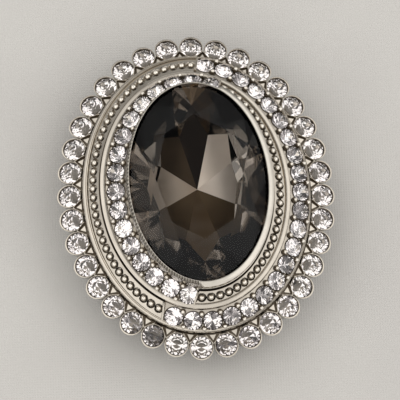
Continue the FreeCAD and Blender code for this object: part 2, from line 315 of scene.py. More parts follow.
def speckle_group():
    """Slow changes of tone from place to place, as between one thread and the next."""
    group, given, out = shader_group(
        "speckle",
        [
            ("First", "NodeSocketColor", (1, 1, 1, 1)),
            ("Second", "NodeSocketColor", (0.9, 0.9, 0.95, 1)),
            ("Scale", "NodeSocketFloat", 300.0),
        ],
        [("Color", "NodeSocketColor"), ("Mask", "NodeSocketFloat")],
    )
    link = group.links.new
    place = group.nodes.new("ShaderNodeTexCoord")
    noise = node(group, "ShaderNodeTexNoise", Detail=1.0)
    link(place.outputs["Object"], noise.inputs["Vector"])
    link(given.outputs["Scale"], noise.inputs["Scale"])
    spread = node(group, "ShaderNodeMapRange")
    spread.inputs["From Min"].default_value = 0.38
    spread.inputs["From Max"].default_value = 0.62
    link(noise.outputs["Fac"], spread.inputs["Value"])
    mix = colour_mix(group, spread.outputs["Result"], given.outputs["First"], given.outputs["Second"])
    link(mix, out.inputs["Color"])
    link(spread.outputs["Result"], out.inputs["Mask"])
    return group


def colour_mix(tree, factor, first, second):
    mix = tree.nodes.new("ShaderNodeMix")
    mix.data_type = "RGBA"
    tree.links.new(factor, mix.inputs["Factor"])
    tree.links.new(first, mix.inputs["A"])
    tree.links.new(second, mix.inputs["B"])
    return mix.outputs["Result"]


def facet_group():
    """Painted reflection on the foil, by facet: from dark through middle to light, a little uneven over each.
    """
    group, given, out = shader_group(
        "painted_facet_reflection",
        [
            ("Dark", "NodeSocketColor", (0.02, 0.02, 0.02, 1)),
            ("Middle", "NodeSocketColor", (0.4, 0.4, 0.4, 1)),
            ("Light", "NodeSocketColor", (0.9, 0.9, 0.9, 1)),
            ("Painted Reflection", "NodeSocketFloat", 1.0),
            ("Scale", "NodeSocketFloat", 300.0),
            ("Uneven", "NodeSocketFloat", 0.15),
        ],
        [("Color", "NodeSocketColor")],
    )
    link = group.links.new
    place = group.nodes.new("ShaderNodeTexCoord")
    noise = node(group, "ShaderNodeTexNoise", Detail=1.0)
    link(place.outputs["Object"], noise.inputs["Vector"])
    link(given.outputs["Scale"], noise.inputs["Scale"])
    shift = node(group, "ShaderNodeMath")
    shift.operation = "SUBTRACT"
    shift.inputs[1].default_value = 0.5
    link(noise.outputs["Fac"], shift.inputs[0])
    painted_reflection = node(group, "ShaderNodeMath")
    painted_reflection.operation = "MULTIPLY_ADD"
    link(shift.outputs["Value"], painted_reflection.inputs[0])
    link(given.outputs["Uneven"], painted_reflection.inputs[1])
    link(given.outputs["Painted Reflection"], painted_reflection.inputs[2])
    halves = []
    for low, high in ((0.0, 0.5), (0.5, 1.0)):
        part = node(group, "ShaderNodeMapRange")
        part.inputs["From Min"].default_value = low
        part.inputs["From Max"].default_value = high
        link(painted_reflection.outputs["Value"], part.inputs["Value"])
        halves.append(part.outputs["Result"])
    lower = colour_mix(group, halves[0], given.outputs["Dark"], given.outputs["Middle"])
    link(colour_mix(group, halves[1], lower, given.outputs["Light"]), out.inputs["Color"])
    return group


PLATING = plating_group()
SPECKLE = speckle_group()
FACETS = facet_group()


def blank_material(name):
    material = bpy.data.materials.new(name)
    material.use_nodes = True
    shader = material.node_tree.nodes["Principled BSDF"]
    return material, material.node_tree, shader


def plated(name, bright, tarnish_and_shade, shine, marks=900.0, bump=0.02, painted_shade=True):
    """Polished plating; the last argument says whether the mesh carries the attribute of painted shade."""
    material, tree, shader = blank_material(name)
    effect = tree.nodes.new("ShaderNodeGroup")
    effect.node_tree = PLATING
    effect.inputs["Bright"].default_value = (*bright, 1)
    effect.inputs["Tarnish And Shade"].default_value = (*tarnish_and_shade, 1)
    effect.inputs["Shine"].default_value = shine
    effect.inputs["Mark Scale"].default_value = marks
    if painted_shade:
        # painted shade, read per vertex from the mesh
        depth = tree.nodes.new("ShaderNodeAttribute")
        depth.attribute_name = "painted_shade"
        tree.links.new(depth.outputs["Fac"], effect.inputs["Painted Shade"])
    height = node(tree, "ShaderNodeBump", Strength=bump, Distance=0.0001)
    tree.links.new(effect.outputs["Height"], height.inputs["Height"])
    tree.links.new(effect.outputs["Color"], shader.inputs["Base Color"])
    tree.links.new(effect.outputs["Roughness"], shader.inputs["Roughness"])
    tree.links.new(height.outputs["Normal"], shader.inputs["Normal"])
    shader.inputs["Metallic"].default_value = 1.0
    return material


def clear_face(name, first, second, scale, ior, glare=1.0):
    """The clear upper faces of a stone; glare is how strongly they mirror the room."""
    material, tree, shader = blank_material(name)
    effect = tree.nodes.new("ShaderNodeGroup")
    effect.node_tree = SPECKLE
    effect.inputs["First"].default_value = (*first, 1)
    effect.inputs["Second"].default_value = (*second, 1)
    effect.inputs["Scale"].default_value = scale
    tree.links.new(effect.outputs["Color"], shader.inputs["Base Color"])
    shader.inputs["Roughness"].default_value = 0.0
    shader.inputs["Transmission Weight"].default_value = 1.0
    shader.inputs["IOR"].default_value = ior
    shader.inputs["Specular Tint"].default_value = (glare, glare, glare, 1)
    return material


def foil(name, dark, middle, light, scale, roughness):
    """The mirror foil behind a stone, with painted reflections: its colour goes dark or light by facet."""
    material, tree, shader = blank_material(name)
    effect = tree.nodes.new("ShaderNodeGroup")
    effect.node_tree = FACETS
    for label, colour in (("Dark", dark), ("Middle", middle), ("Light", light)):
        effect.inputs[label].default_value = (*colour, 1)
    effect.inputs["Scale"].default_value = scale
    painted_reflection = tree.nodes.new("ShaderNodeAttribute")
    painted_reflection.attribute_name = "painted_reflection"
    tree.links.new(painted_reflection.outputs["Fac"], effect.inputs["Painted Reflection"])
    tree.links.new(effect.outputs["Color"], shader.inputs["Base Color"])
    shader.inputs["Metallic"].default_value = 1.0
    shader.inputs["Roughness"].default_value = roughness
    return material


# each plating's second colour is the tarnish and painted shade that its darker parts mix towards
CASTING = plated("polished_casting", (0.575, 0.525, 0.455), (0.075, 0.058, 0.04), 0.16)
# the beads and grains share the casting's metal; their lighter colour is painted light, their lower roughness
# a smoother polish
LIGHTER_BEADING = plated("polished_beads_painted_light", (0.84, 0.785, 0.70), (0.075, 0.058, 0.04), 0.07)
STRIP = plated("serrated_strip", (0.62, 0.58, 0.515), (0.07, 0.06, 0.05), 0.16)
FINDINGS = plated("plated_findings", (0.78, 0.72, 0.65), (0.45, 0.40, 0.34), 0.22, painted_shade=False)
RIVET = plated("peened_wire", (0.66, 0.64, 0.61), (0.40, 0.37, 0.33), 0.30, marks=1500.0, painted_shade=False)
PIN_WIRE = plated("drawn_pin_wire", (0.74, 0.73, 0.72), (0.5, 0.48, 0.46), 0.18, marks=1800.0, painted_shade=False)
CLEAR_FACE = clear_face("clear_glass", (1, 1, 1), (0.97, 0.96, 0.98), 260.0, 1.56)
# the foils' dark, middle and light colours are painted reflections, picked per facet
CLEAR_FOIL = foil("bright_foil", (0.05, 0.045, 0.045), (0.60, 0.565, 0.56), (1.0, 0.975, 0.96), 480.0, 0.05)
SMOKY_FACE = clear_face("smoky_glass", (0.82, 0.78, 0.735), (0.78, 0.745, 0.71), 160.0, 1.5, 0.4)
SMOKY_FOIL = foil("smoky_foil", (0.012, 0.010, 0.009), (0.16, 0.115, 0.07), (0.72, 0.66, 0.60), 220.0, 0.32)
SMOKY_EDGE_FOIL = foil(
    "smoky_edge_foil", (0.02, 0.019, 0.018), (0.17, 0.15, 0.13), (0.76, 0.73, 0.70), 220.0, 0.03)


# --- geometry node trees -------------------------------------------------------------------------
def placing_tree(name, material):
    """A tree that stands a copy of a shape on every point, turned and sized as the point says."""
    tree = bpy.data.node_groups.new(name, "GeometryNodeTree")
    tree.interface.new_socket("Geometry", in_out="INPUT", socket_type="NodeSocketGeometry")
    tree.interface.new_socket("Shape", in_out="INPUT", socket_type="NodeSocketObject")
    size = tree.interface.new_socket("Size", in_out="INPUT", socket_type="NodeSocketFloat")
    size.default_value = 1.0
    tree.interface.new_socket("Geometry", in_out="OUTPUT", socket_type="NodeSocketGeometry")
    given, out = tree.nodes.new("NodeGroupInput"), tree.nodes.new("NodeGroupOutput")
    link = tree.links.new
    shape = tree.nodes.new("GeometryNodeObjectInfo")
    link(given.outputs["Shape"], shape.inputs["Object"])
    turn = tree.nodes.new("GeometryNodeInputNamedAttribute")
    turn.data_type = "FLOAT_VECTOR"
    turn.inputs["Name"].default_value = "turn"
    place = tree.nodes.new("GeometryNodeInstanceOnPoints")
    link(given.outputs["Geometry"], place.inputs["Points"])
    link(shape.outputs["Geometry"], place.inputs["Instance"])
    link(turn.outputs["Attribute"], place.inputs["Rotation"])
    link(given.outputs["Size"], place.inputs["Scale"])
    real = tree.nodes.new("GeometryNodeRealizeInstances")
    link(place.outputs["Instances"], real.inputs["Geometry"])
    paint = tree.nodes.new("GeometryNodeSetMaterial")
    paint.inputs["Material"].default_value = material
    link(real.outputs["Geometry"], paint.inputs["Geometry"])
    link(paint.outputs["Geometry"], out.inputs["Geometry"])
    return tree


def placed_copies(name, shape, seats, material, smooth_angle=None, size=1.0):
    """One plain mesh with a copy of the shape on every seat; the shape is then removed."""
    points = bpy.data.meshes.new(name + "_points")
    matrices = [seat_matrix(seat) for seat in seats]
    points.from_pydata([m.translation * MM for m in matrices], [], [])
    turn = points.attributes.new("turn", "FLOAT_VECTOR", "POINT")
    turn.data.foreach_set("vector", np.array([m.to_euler() for m in matrices], np.float32).ravel())
    carrier = bpy.data.objects.new(name + "_points", points)
    bpy.context.scene.collection.objects.link(carrier)
    tree = placing_tree(name + "_tree", material)
    modifier = carrier.modifiers.new("copies", "NODES")
    modifier.node_group = tree
    sockets = {s.name: s.identifier for s in tree.interface.items_tree if s.in_out == "INPUT"}
    modifier[sockets["Shape"]] = shape
    modifier[sockets["Size"]] = size
    bpy.context.view_layer.update()
    evaluated = carrier.evaluated_get(bpy.context.evaluated_depsgraph_get())
    mesh = bpy.data.meshes.new_from_object(evaluated)
    carrier.modifiers.clear()
    bpy.data.objects.remove(carrier)
    bpy.data.objects.remove(shape)
    obj = bpy.data.objects.new(name, mesh)
    bpy.context.scene.collection.objects.link(obj)
    finish_mesh(obj, smooth_angle)
    return obj


# --- shapes that repeat ----------------------------------------------------------------------------
def lathe(name, outline, segments, material, painted_shade=None):
    """A closed outline of (r, z) turned about +Z; the last argument, if given, sets painted shade by (r, z).
    """
    rows = [(r, r, r, z) for r, z in outline]
    faces = tube_faces(len(rows), segments, True)
    obj = new_object(name, oval_loops(rows, segments), faces, [material], None, 35)
    if painted_shade:
        add_dark(obj, [painted_shade(math.hypot(v.co.x, v.co.y) / MM, v.co.z / MM) for v in obj.data.vertices])
    return obj


def cup_shape():
    """A tapered round cup with a thin rim, thicker on its outward side, and open inside for the stone."""
    corners = [
        (CUP_RIM - 0.02, CUP_LIP),
        (CUP_RIM - 0.11, CUP_LIP),
        (CUP_RIM - 0.12, 0.03),
        (OUTER_RADIUS + 0.01, 0.01),
        (1.25, -0.45),
        (0.3, -1.62),
        (0.3, -CUP_DEPTH),
        (CUP_FOOT, -CUP_DEPTH),
        (CUP_RIM - 0.06, -0.5),
    ]
    outline = rounded(corners, [0.05, 0.03, 0, 0, 0.05, 0, 0, 0.1, 0.1])
    # painted shade inside the cup, below its rim
    cup = lathe("cup", outline, 40, CASTING, lambda r, z: 1.0 if z < 0.05 and r < CUP_RIM - 0.11 else 0.0)
    for vertex in cup.data.vertices:
        if math.hypot(vertex.co.x, vertex.co.y) > (CUP_RIM - 0.06) * MM:
            vertex.co.x += CUP_THICKER * (1 + vertex.co.x / (CUP_RIM * MM)) * MM
    return cup


def bead_shape(name, radius, painted_shade=0.0):
    """A ball sunk a little below its middle, cast on the metal under it."""
    steps = 7
    outline = [(radius * math.cos(math.radians(a)), radius * math.sin(math.radians(a)))
               for a in np.linspace(-40, 84, steps)]
    verts, faces, ring = [], [], 14
    turns = [2 * math.pi * j / ring for j in range(ring)]
    for r, z in outline:
        verts += [(r * math.cos(t), r * math.sin(t), z) for t in turns]
    verts += [(0, 0, radius), (0, 0, outline[0][1])]
    top, bottom = len(verts) - 2, len(verts) - 1
    faces += tube_faces(steps, ring, False)
    for j in range(ring):
        k = (j + 1) % ring
        faces.append((top, (steps - 1) * ring + j, (steps - 1) * ring + k))
        faces.append((bottom, k, j))
    obj = new_object(name, verts, faces, [LIGHTER_BEADING], None, 60)
    # painted shade on the ball's lower part, fading out below its top
    add_dark(obj, [painted_shade * max(0.0, 0.4 - v.co.z / MM / radius) for v in obj.data.vertices])
    return obj


def brilliant_points(rx, ry, cut, sides):
    """A stone's corners: table, stars, both edges of the girdle, lower facets, culet and any tips."""

    def corner(share, degrees, z):
        a = math.radians(degrees)
        return Vector((rx * share * math.sin(a), ry * share * math.cos(a), z))

    lean = math.cos(math.radians(22.5))
    table, star, lower = cut["table"], cut["star"], cut["lower"]
    star_z = cut["crown"] * (1 - star * lean) / (1 - table)
    culet_z, slope = -cut["girdle"] - cut["pavilion"], cut["pavilion"] * cut.get("steep", 1.0)
    points = [corner(table, 45 * k, cut["crown"]) for k in range(8)]
    points += [corner(star, 45 * k + 22.5, star_z) for k in range(8)]
    points += [corner(1, 360 * j / sides, 0) for j in range(sides)]
    points += [corner(1, 360 * j / sides, -cut["girdle"]) for j in range(sides)]
    points += [corner(lower, 45 * k + 22.5, culet_z + slope * lower * lean) for k in range(8)]
    points.append(Vector((0, 0, culet_z)))
    tips = cut.get("tips", ())
    return points + [corner(share, 45 * k, culet_z + slope * share) for k, share in enumerate(tips)]


def brilliant_facets(sides, halves, tipped, edge_slot):
    """(corners, material slot, painted reflection) of each facet; the painted reflection is None or (MAIN,
    HALF or TIP, its number).
    """
    stars, top, under, low, culet = 8, 16, 16 + sides, 16 + 2 * sides, 24 + 2 * sides
    per = sides // 8
    tips = [culet + 1 + k if tipped else under + k * per for k in range(8)]
    facets = [(list(range(8)), 0, None)]
    for k in range(8):
        after, before = (k + 1) % 8, (k - 1) % 8
        facets.append(([k, after, stars + k], 0, None))
        facets.append(([k, stars + k, top + k * per, stars + before], 0, None))
        facets.append(([culet, low + k, tips[k], low + before], 1, (MAIN, k)))
        for i in range(per):
            a = (k * per + i) % sides
            b = (a + 1) % sides
            facets.append(([stars + k, top + a, top + b], 0, None))
            facets.append(([top + a, top + b, under + b, under + a], 0, None))
            half = (HALF, (k * per + i) * halves // sides)
            root, painted_reflection = low + k, half
            if tipped and (i < per // 3 or i >= per - per // 3):
                side = k if i < per // 2 else after
                root, painted_reflection = tips[side], (TIP, side)
            facets.append(([root, under + a, under + b], edge_slot, painted_reflection))
            if tipped and i in (per // 3, per - per // 3 - 1):
                side, edge = (k, a) if i < per // 2 else (after, b)
                facets.append(([low + k, tips[side], under + edge], edge_slot, half))
    return facets


def brilliant(name, rx, ry, cut, sides, materials, matrices, painted_reflections):
    """Faceted stones, clear above the girdle and foiled below; the last argument gives each stone the painted
    reflection tones of its foil.
    """
    points = brilliant_points(rx, ry, cut, sides)
    facets = brilliant_facets(sides, len(painted_reflections[0][HALF]), "tips" in cut, len(materials) - 1)
    verts, faces, slots, shades = [], [], [], []
    for matrix, painted_reflection in zip(matrices, painted_reflections):
        base = len(verts)
        verts += [matrix @ p for p in points]
        for corners, slot, which in facets:
            faces.append([base + i for i in corners])
            slots.append(slot)
            shades.append(1.0 if which is None else painted_reflection[which[0]][which[1]])
    obj = new_object(name, verts, faces, materials, slots)
    attribute = obj.data.attributes.new("painted_reflection", "FLOAT", "FACE")
    attribute.data.foreach_set("value", np.array(shades, np.float32))
    return obj


def small_painted_reflections(draw, dark_share):
    """Painted reflection tones: bright mains but for a share of dark ones, and slivers that go light and dark
    by turns.
    """
    mains = [1.0 if draw.random() > dark_share else draw.uniform(0.0, 0.35) for _ in range(8)]
    slivers = [(1.0 if i % 2 or draw.random() > 0.8 else draw.uniform(0.0, 0.12)) for i in range(32)]
    return mains, slivers


def round_cut(radius):
    cut = dict(ROUND_CUT)
    for key in ("crown", "pavilion", "girdle"):
        cut[key] *= radius
    return cut


def stone_spin(k):
    """Each small stone sits turned its own way in its seat."""
    return math.radians((k * 137.5) % 45)


# --- the pieces -----------------------------------------------------------------------------------------
def keep(obj, slot, *nodes):
    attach(obj, ROOT_BODY)
    if nodes:
        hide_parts(*nodes)
    return obj


def make_stones():
    clear = [CLEAR_FACE, CLEAR_FOIL]
    draw = np.random.default_rng(11)
    for k, seat in enumerate(ring_seats()):
        name = f"outer_stone_{k + 1:02d}"
        # painted shade: the share of dark painted facets in each ring stone grows towards the brooch's bottom
        stone = brilliant(name + "_cut", OUTER_RADIUS, OUTER_RADIUS, round_cut(OUTER_RADIUS), 32, clear,
                          [seat_matrix(seat, stone_spin(k))], [small_painted_reflections(draw, 0.06 - 0.08 * seat[2].y)])
        keep(stone, "clear_stone", name)
    rows = (
        ("outer_channel_stones", OUTER_FLOOR, PAVE_OUTER, 0),
        ("inner_channel_stones", INNER_FLOOR, PAVE_INNER, 1),
    )
    for name, floor, spec, side in rows:
        seats = pave_seats(floor, spec, PAVE_ACROSS[side])
        matrices = [seat_matrix(seat, stone_spin(3 * k + side)) for k, seat in enumerate(seats)]
        # painted shade: more dark painted facets in the channel stones towards the brooch's right and bottom
        painted_reflections = [small_painted_reflections(draw, 0.24 + 0.1 * seat[2].x - 0.04 * seat[2].y) for seat in seats]
        cut = round_cut(PAVE_RADIUS)
        stones = brilliant(name + "_cut", PAVE_RADIUS, PAVE_RADIUS, cut, 32, clear, matrices, painted_reflections)
        keep(stones, "clear_stone", name)
    smoky = [SMOKY_FACE, SMOKY_FOIL, SMOKY_EDGE_FOIL]
    centre = brilliant("centre_stone_cut", STONE_RX, STONE_RY, CENTRE_CUT, 48, smoky,
                       [Matrix.Translation((0, 0, STONE_TOP))], [(CENTRE_MAINS, CENTRE_HALVES, CENTRE_TIPS)])
    keep(centre, "smoky_stone", "centre_stone")


def make_lower_frame():
    """The ring plate and its cups."""
    rows = [
        (PLATE_INNER[0], PLATE_INNER[0], PLATE_INNER[1], BACK_PLANE),
        (PLATE_INNER[0], PLATE_INNER[0], PLATE_INNER[1], PLATE_TOP),
        (PLATE_OUTER[0], PLATE_OUTER[0], PLATE_OUTER[1], PLATE_TOP + 0.35),
        (PLATE_OUTER[0] + 0.1, PLATE_OUTER[0] + 0.1, PLATE_OUTER[1] + 0.1, PLATE_TOP + 0.2),
        (PLATE_OUTER[0] + 0.1, PLATE_OUTER[0] + 0.1, PLATE_OUTER[1] + 0.1, BACK_PLANE),
    ]
    segments = 288
    faces = tube_faces(len(rows), segments, True)
    plate = new_object("ring_plate", oval_loops(rows, segments), faces, [CASTING], None, 35)
    # painted shade on the plate's top, between and under the cups, and a little elsewhere
    add_dark(plate, [0.75 if v.co.z > 5.5 * MM else 0.15 for v in plate.data.vertices])
    cups = placed_copies("ring_cups", cup_shape(), ring_seats(), CASTING, 35)
    keep(plate, "plated_casting", "lower_frame")
    keep(cups, "plated_casting")


# sections of the rails, as (share of the width, share of the height)
ROUND_RAIL = ((0.0, 0.0), (0.03, 0.7), (0.08, 0.93), (0.15, 1.0),
              (0.85, 1.0), (0.93, 0.93), (0.98, 0.65), (1.0, 0.0))
GROOVED_RAIL = ((0.0, 0.0), (0.03, 0.7), (0.08, 0.84), (0.20, 0.86), (0.25, 0.74), (0.30, 0.88), (0.38, 0.99),
                (0.5, 1.0), (0.86, 1.0), (0.94, 0.9), (0.98, 0.6), (1.0, 0.0))


def rail(inner, outer, top, base, profile=ROUND_RAIL):
    """Rows of one rail's section, from its inner foot to its outer foot."""
    (li, ri, ti), (lo, ro, to) = inner[:3], outer[:3]
    rows = []
    for share, height in profile:
        z = base[0] * (1 - share) + base[1] * share
        full = top[0] * (1 - share) + top[1] * share
        rows.append((li + (lo - li) * share, ri + (ro - ri) * share, ti + (to - ti) * share,
                     z + (full - z) * height))
    return rows


def make_upper_frame():
    """The stepped dome: rails, channel floors and the seats cut for the small stones."""
    (i0, i1), (o0, o1) = INNER_FLOOR, OUTER_FLOOR
    rows = [(*SETTING_WALL, 9.3)]
    rows += rail(SETTING_WALL, i0, (INNER_RAIL_TOP + 0.02, INNER_RAIL_TOP - 0.18), (11.3, i0[3]))
    rows += rail(i1, o0, (MID_RAIL_TOP, MID_RAIL_TOP - 0.2), (i1[3], o0[3]))
    rows += rail(o1, OUTER_RAIL_FOOT, (OUTER_RAIL_TOP, OUTER_RAIL_TOP - 0.3), (o1[3], OUTER_RAIL_FOOT_Z),
                 GROOVED_RAIL)
    rows += [
        (15.95, 15.95, 20.3, 7.7),
        (15.3, 15.3, 19.65, PLATE_TOP),
        (14.3, 14.3, 18.65, PLATE_TOP),
        (14.2, 14.2, 18.5, 6.9),
        (12.7, 12.5, 17.0, 7.8),
    ]
    segments = 360
    verts = oval_loops(rows, segments)
    for i, point in enumerate(verts[:segments * (1 + len(ROUND_RAIL))]):
        share = beaded_share(360 * (i % segments) / segments)
        point.z = min(point.z, STONED_RAIL_TOP + (INNER_RAIL_TOP + 0.02 - STONED_RAIL_TOP) * share)
    dome = new_object("upper_casting", verts, tube_faces(len(rows), segments, True), [CASTING])
    cut_away(dome, [
        trough_cutter(OUTER_FLOOR, BEADS_OUTER),
        trough_cutter(INNER_FLOOR, BEADS_INNER),
        seat_cutters(OUTER_FLOOR, PAVE_OUTER, PAVE_ACROSS[0]),
        seat_cutters(INNER_FLOOR, PAVE_INNER, PAVE_ACROSS[1]),
    ])
    finish_mesh(dome, 40, 1e-6)
    add_dark(dome, [dome_painted_shade(v.co / MM) for v in dome.data.vertices])
    keep(dome, "plated_casting", "upper_frame")


def cut_away(obj, cutters):
    """Takes each cutter's shape out of the object."""
    for cutter in cutters:
        modifier = obj.modifiers.new(cutter.name, "BOOLEAN")
        modifier.operation = "DIFFERENCE"
        modifier.solver = "EXACT"
        modifier.object = cutter
    bpy.context.view_layer.update()
    cut = bpy.data.meshes.new_from_object(obj.evaluated_get(bpy.context.evaluated_depsgraph_get()))
    obj.modifiers.clear()
    obj.data = cut
    for cutter in cutters:
        bpy.data.objects.remove(cutter)


def dome_painted_shade(p):
    """Painted shade on the channel floors and in the seats, deeper where lower; none on the rails."""
    best = 0.0
    for floor in (INNER_FLOOR, OUTER_FLOOR):
        inner, outer = (from_reaches(*r) for r in floor)
        angle = math.atan2((p.x - inner[2]) / inner[0], p.y / inner[1])
        a = clock_point(*inner, math.degrees(angle))
        b = clock_point(*outer, math.degrees(angle))
        way = b - a
        share = (p - a).dot(way) / way.length_squared
        if -0.02 < share < 1.02:
            line = a + way * share
            depth = line.z - p.z
            best = max(best, 0.2 + 2.2 * max(0.0, depth)) if p.z < line.z + 0.06 else best
    return best


def seat_cutters(floor, spec, across):
    """The holes of a channel's stones: a straight mouth and a cone for each point."""
    wide, ways = PAVE_RADIUS + 0.03, 32
    profile = ((wide, 1.2), (wide, -0.08), (0.22, -1.42))
    turns = [2 * math.pi * t / ways for t in range(ways)]
    skins = []
    for seat in pave_seats(floor, spec, across):
        matrix = seat_matrix(seat)
        rings = []
        for r, z in profile:
            rings.append([matrix @ Vector((r * math.cos(t), r * math.sin(t), z)) for t in turns])
        skins.append(rings)
    return skinned("seat_cutters", skins)


def trough_cutter(floor, spec):
    """The bed that a run of beads lies in."""
    rings = []
    for degrees in np.linspace(*run_ends(floor, spec), 240):
        sides = [channel_seat(floor, degrees, share) for share in (0.0, 1.0)]
        ring = [point - normal * TROUGH_DEPTH for point, normal, _ in sides]
        ring += [point + Vector((0, 0, 1.2)) for point, _, _ in reversed(sides)]
        rings.append(ring)
    return skinned("trough_cutter", [rings])


def skinned(name, skins):
    """Closed skins, each over rings of points in millimetres."""
    verts, faces = [], []
    for rings in skins:
        base, count = len(verts), len(rings[0])
        for ring in rings:
            verts += ring
        for i in range(len(rings) - 1):
            for j in range(count):
                k, a = (j + 1) % count, base + i * count
                faces.append((a + j, a + k, a + count + k, a + count + j))
        faces.append([base + j for j in range(count)])
        faces.append([base + (len(rings) - 1) * count + j for j in reversed(range(count))])
    return new_object(name, verts, faces, [])


def run_ends(floor, spec):
    """The angles where a beaded run starts and ends, a little over half a pitch past its end beads."""
    angles = channel_angles(floor, spec)
    before, after = angles[1] - angles[0], angles[-1] - angles[-2]
    return angles[0] - before * RUN_PAST, angles[-1] + after * RUN_PAST


def bed_stations(floor, spec):
    """(angle, its bead's angle) of each row of a bed's points along the run."""
    angles = channel_angles(floor, spec)
    start, end = run_ends(floor, spec)
    edges = [start] + [(a + b) / 2 for a, b in zip(angles, angles[1:])] + [end]
    stations = []
    for low, high, bead in zip(edges, edges[1:], angles):
        stations += [(low + (high - low) * i / BED_ALONG, bead) for i in range(BED_ALONG)]
    return stations + [(end, angles[-1])]


def dish(way, edge, shade):
    """(rise, painted shade) of the bed, by the way to its bead and to the trough's nearer side."""
    if edge < EDGE_LINE:
        return EDGE_RISE, EDGE_DARK
    if way < DISH_RADIUS:
        wall = max(0.0, (way - (1 - DISH_WALL) * DISH_RADIUS) / (DISH_WALL * DISH_RADIUS))
        return -DISH_DEPTH * (1 - wall), shade * (1 - 0.5 * wall)
    return LAND_RISE, 0.0


def bed_top(floor, stations, all_round, shaded):
    """(points, painted shade) of a bed's upper side: a dish round every bead, flat lands between them."""
    verts, dark = [], []
    for degrees, bead in stations:
        centre = channel_seat(floor, bead)[0]
        for j in range(BED_ACROSS + 1):
            point, normal, width = channel_seat(floor, degrees, j / BED_ACROSS)
            edge = (0.5 - abs(j / BED_ACROSS - 0.5)) * width
            # painted shade is heavier on the same side of every dish, fixed in place
            away = max(0.0, (point - centre).normalized().dot(PAINTED_SHADE_WAY))
            rise, shade = dish((point - centre).length, edge, all_round + shaded * away)
            verts.append(point + normal * rise)
            dark.append(shade)
    return verts, dark


def bed_underside(floor, stations):
    verts = []
    for degrees, _ in stations:
        for j in range(BED_ACROSS + 1):
            point, normal, _ = channel_seat(floor, degrees, j / BED_ACROSS)
            verts.append(point - normal * (TROUGH_DEPTH + BED_THICK))
    return verts


def slab_faces(along, across):
    """The closed skin of a slab whose top, then underside, has along rows of across points."""
    under = along * across
    faces = []
    for i in range(along - 1):
        for j in range(across - 1):
            a = i * across + j
            faces.append((a, a + 1, a + across + 1, a + across))
            faces.append((under + a, under + a + across, under + a + across + 1, under + a + 1))
        for j in (0, across - 1):
            a = i * across + j
            faces.append((a, a + across, under + a + across, under + a))
    for i in (0, along - 1):
        for j in range(across - 1):
            a = i * across + j
            faces.append((a, under + a, under + a + 1, a + 1))
    return faces


def beaded_channel(name, floor, spec, bead_look):
    """The bed of one beaded run, and the beads that stand in its dishes."""
    radius, all_round, shaded = bead_look
    stations = bed_stations(floor, spec)
    verts, dark = bed_top(floor, stations, all_round, shaded)
    underside = bed_underside(floor, stations)
    faces = slab_faces(len(stations), BED_ACROSS + 1)
    bed = new_object(name, verts + underside, faces, [CASTING], None, 50)
    # painted shade on the bed's top as worked out above, and an even painted shade of 0.5 on its underside
    add_dark(bed, dark + [0.5] * len(underside))
    keep(bed, "plated_casting")
    seats = []
    for degrees in channel_angles(floor, spec):
        point, normal, _ = channel_seat(floor, degrees)
        seats.append((point + normal * BEAD_RAISE, normal, Vector((point.x, point.y, 0)).normalized()))
    beads = placed_copies(name + "_beads", bead_shape("bead", radius, 1.0), seats, LIGHTER_BEADING, 60)
    keep(beads, "plated_casting")


def make_grains():
    """The grains raised between neighbouring stones, at each side of both channels."""
    seats = []
    for floor, (count, start, end), across in (
        (OUTER_FLOOR, PAVE_OUTER, PAVE_ACROSS[0]),
        (INNER_FLOOR, PAVE_INNER, PAVE_ACROSS[1]),
    ):
        for degrees in channel_angles(floor, (2 * count - 1, start, end))[1::2]:
            width = channel_seat(floor, degrees)[2]
            for side in (-1, 1):
                point, normal, _ = channel_seat(floor, degrees, across + side * GRAIN_REACH / width)
                out = Vector((point.x, point.y, 0)).normalized()
                seats.append((point + normal * (GRAIN_RAISE + PAVE_RAISE * 0.6), normal, out))
    grains = placed_copies("stone_grains", bead_shape("grain", GRAIN_RADIUS, 0.7), seats, LIGHTER_BEADING, 60)
    keep(grains, "plated_casting")
    foot = [(0.02, -0.34), (GRAIN_RADIUS + 0.12, -0.34), (GRAIN_RADIUS + 0.12, -0.16), (0.02, -0.12)]
    # the grains' feet carry full painted shade
    feet = placed_copies("grain_feet", lathe("foot", foot, 20, CASTING, lambda r, z: 1.0), seats, CASTING, 30)
    keep(feet, "plated_casting")


def make_collars():
    """The rim of each channel stone's seat, with dark painted shade where it meets the stone and lighter
    painted shade outside.
    """
    outline = [(1.27, -0.35), (1.27, -0.14), (1.35, -0.10), (1.43, -0.15), (1.43, -0.35)]
    collar = lathe("collar", outline, 28, CASTING, lambda r, z: 1.0 if r < 1.38 else 0.55)
    seats = pave_seats(OUTER_FLOOR, PAVE_OUTER, PAVE_ACROSS[0])
    seats += pave_seats(INNER_FLOOR, PAVE_INNER, PAVE_ACROSS[1])
    keep(placed_copies("seat_collars", collar, seats, CASTING, 30), "plated_casting")


def bar(a, b, width, low, high):
    """A straight rib between two points of a plan, narrower at its top."""
    a, b = Vector(a), Vector(b)
    side = Vector((a.y - b.y, b.x - a.x)).normalized() * width / 2
    rings = []
    for point in (a, b):
        rings.append([Vector((*(point + side), low)), Vector((*(point - side), low)),
                      Vector((*(point - side * 0.5), high)), Vector((*(point + side * 0.5), high))])
    return rings


